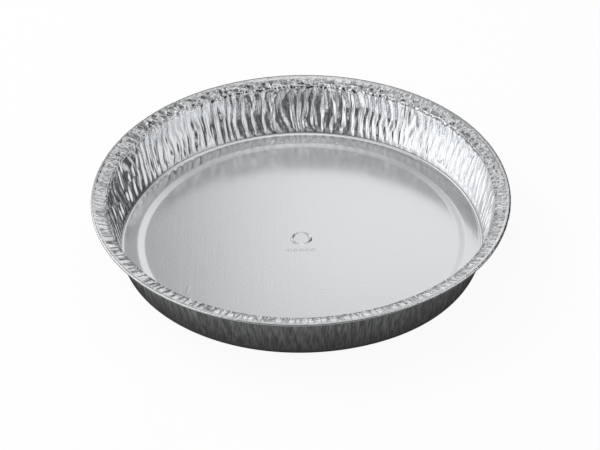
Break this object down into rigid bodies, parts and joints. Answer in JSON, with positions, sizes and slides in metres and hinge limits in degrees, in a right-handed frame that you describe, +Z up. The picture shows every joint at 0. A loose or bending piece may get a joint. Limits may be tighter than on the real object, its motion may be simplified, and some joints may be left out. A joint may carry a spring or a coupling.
{
  "type": "foil pie tin",
  "caption": "Round shallow pie tin pressed from thin aluminium foil, with a stepped floor, pleated wall, gathered flange and rolled rim.",
  "frame": {"origin": "middle of the floor panel, on the plane that the tin stands on", "axes": "+Z up out of the open dish, along the axis of the round tin; the tin is round, so +X and +Y are free choices"},
  "size_m": [0.232, 0.232, 0.0332],
  "materials": {
    "foil": "satin"
  },
  "bodies": {
    "root": {"tin": "foil"}
  },
  "joints": []
}
